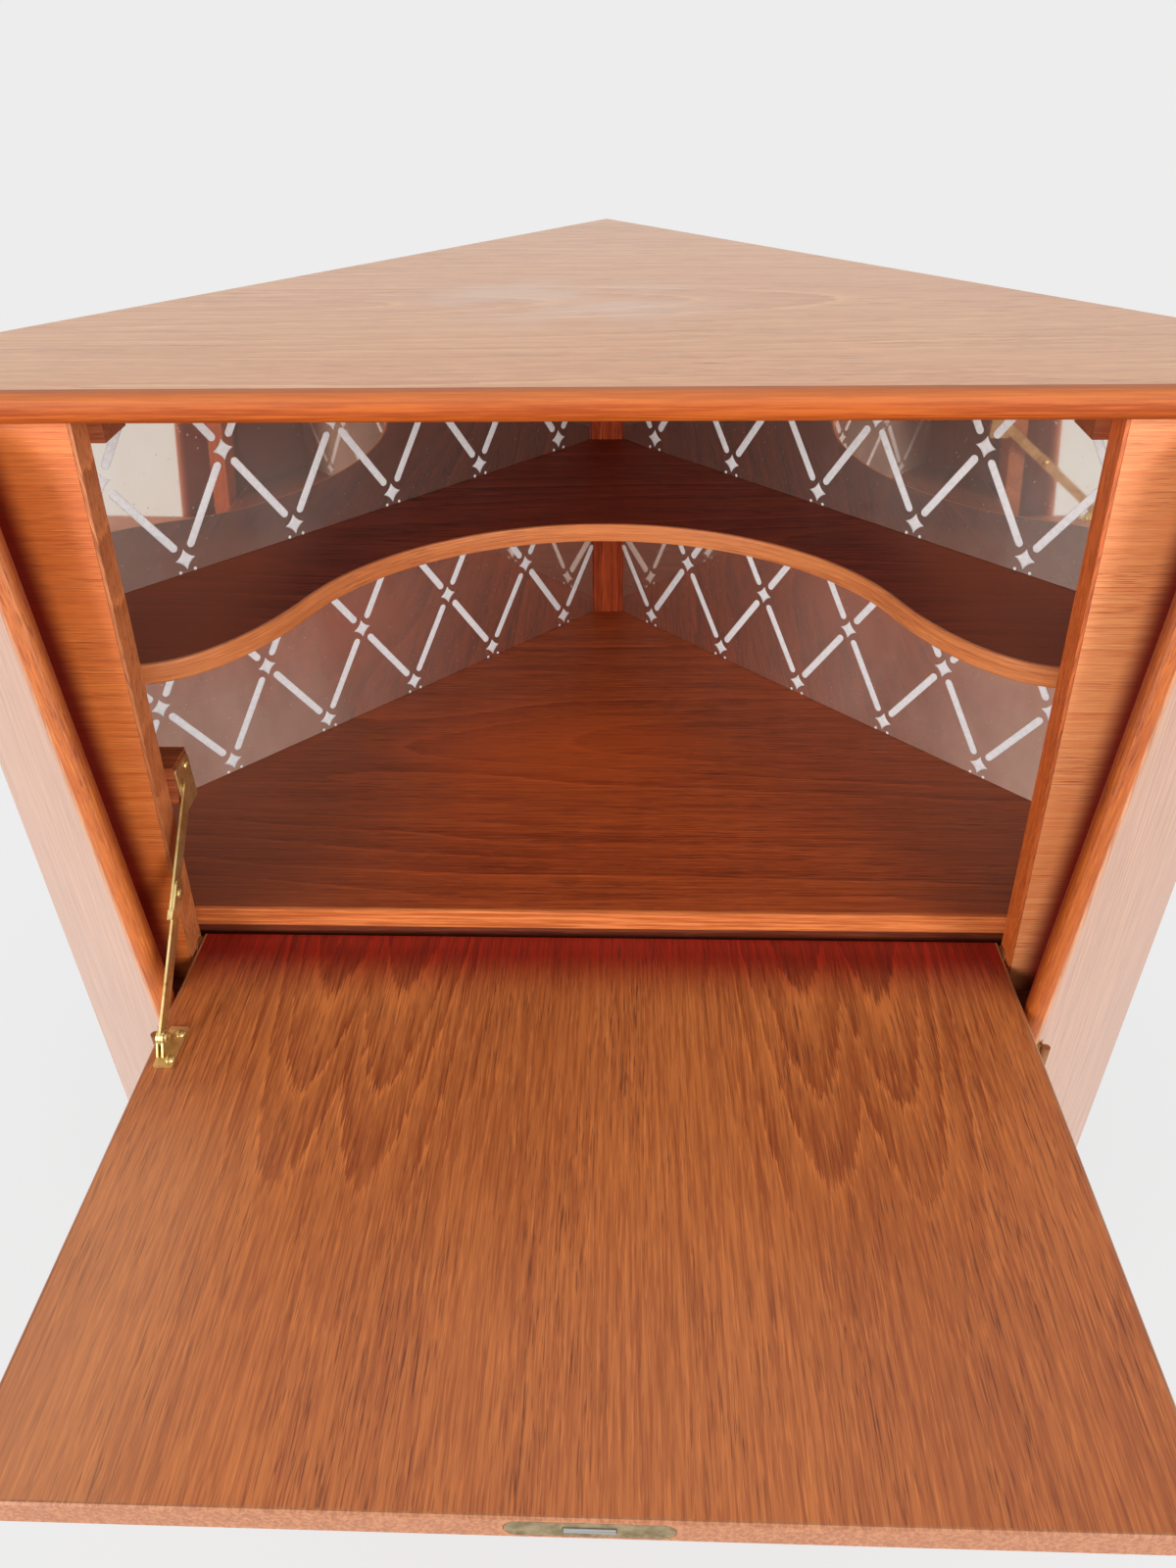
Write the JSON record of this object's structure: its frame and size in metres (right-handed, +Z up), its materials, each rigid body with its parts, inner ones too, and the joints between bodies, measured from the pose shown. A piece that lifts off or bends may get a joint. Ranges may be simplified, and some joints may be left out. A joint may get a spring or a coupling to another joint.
{
  "type": "corner bar cabinet",
  "caption": "Free-standing corner cabinet in teak: a fall-front bar with mirrored back and serpentine shelf above, cupboard doors below, on turned legs.",
  "frame": {"origin": "on the floor, under the middle of the box round the cabinet with its flap open", "axes": "+Z up, +Y into the room's corner, the front faces -Y, +X to the right seen from the front"},
  "size_m": [1, 1.0154, 1.2463],
  "materials": {
    "teak": "oiled teak, satin",
    "cross_veneer": "teak veneer laid across, satin",
    "lipping": "light teak lipping, satin",
    "interior_teak": "dark teak veneer, satin",
    "plywood": "plain plywood",
    "mirror": "silvered glass with an etched lattice",
    "brass": "worn polish",
    "steel": "plain",
    "catch_plastic": "moulded"
  },
  "bodies": {
    "carcass": {"top_panel": "teak", "side_panel_left": "teak", "side_panel_right": "teak", "stile_left": "cross_veneer", "stile_right": "cross_veneer", "stile_lipping_left": "lipping", "stile_lipping_right": "lipping", "bar_floor": "interior_teak", "hinge_rail": "interior_teak", "front_rail": "interior_teak", "back_panel_left": "plywood", "back_panel_right": "plywood", "mirror_lower_left": "mirror", "mirror_lower_right": "mirror", "mirror_upper_left": "mirror", "mirror_upper_right": "mirror", "corner_post_lower": "teak", "corner_post_upper": "teak", "shelf": "interior_teak", "stop_block_left": "teak", "stop_block_right": "teak", "stay_block": "teak", "stay_bracket": "brass", "stay_block_screw": "brass", "stay_upper_rivet": "brass", "flap_pivot_left": "brass", "flap_pivot_right": "brass", "strike_plate": "brass", "bottom_board": "interior_teak", "lower_shelf": "interior_teak", "door_hinge_left": "brass", "door_hinge_right": "brass", "door_catch": "catch_plastic", "leg_front_left": "teak", "leg_front_right": "teak", "leg_side_left": "teak", "leg_side_right": "teak", "leg_corner": "teak"},
    "flap": {"flap_panel": "teak", "lock_plate": "brass", "lock_case": "steel", "keyhole_lining": "brass", "stay_flap_bracket": "brass", "stay_flap_screw_front": "brass", "stay_flap_screw_rear": "brass", "stay_eye_pin": "brass"},
    "stay_upper": {"stay_upper_arm": "brass"},
    "stay_lower": {"stay_lower_arm": "brass", "stay_joint_rivet": "brass"},
    "key": {"lock_key": "brass"},
    "bolt": {"lock_bolt": "steel"},
    "left_door": {"door_left": "teak", "door_hinge_leaf_left": "brass", "door_pull_left": "teak", "catch_plate_left": "steel"},
    "right_door": {"door_right": "teak", "door_hinge_leaf_right": "brass", "door_pull_right": "teak", "catch_plate_right": "steel"}
  },
  "joints": [
    {"name": "flap_hinge", "type": "hinge", "parent": "carcass", "child": "flap", "pos_m": [0, -0.07641, 0.79152], "axis": [-1, 0, 0], "range_deg": [0, 94.67]},
    {"name": "stay_upper_turn", "type": "hinge", "parent": "carcass", "child": "stay_upper", "pos_m": [-0.3218, -0.0452, 0.93183], "axis": [-1, 0, 0], "range_deg": [0, 135.16]},
    {"name": "stay_lower_turn", "type": "hinge", "parent": "flap", "child": "stay_lower", "pos_m": [-0.3197, -0.1926, 0.81071], "axis": [1, 0, 0], "range_deg": [0, 139.52]},
    {"name": "key_turn", "type": "hinge", "parent": "flap", "child": "key", "pos_m": [0, -0.47846, 0.78359], "axis": [0, 0.0188, 0.9998], "range_deg": [0, 90]},
    {"name": "bolt_slide", "type": "slide", "parent": "flap", "child": "bolt", "axis": [0, -0.9998, 0.0188], "range_m": [0, 0.011]},
    {"name": "left_door_hinge", "type": "hinge", "parent": "carcass", "child": "left_door", "pos_m": [-0.35504, -0.14316, 0.47], "axis": [0, 0, -1], "range_deg": [0, 110]},
    {"name": "right_door_hinge", "type": "hinge", "parent": "carcass", "child": "right_door", "pos_m": [0.35504, -0.14316, 0.47], "axis": [0, 0, 1], "range_deg": [0, 110]}
  ],
  "couplings": [
    {"joint": "stay_upper_turn", "follows": "flap_hinge", "ratio": 1.4277},
    {"joint": "stay_lower_turn", "follows": "flap_hinge", "ratio": 1.4737},
    {"joint": "bolt_slide", "follows": "key_turn", "m_per_rad": 0.0070028}
  ]
}
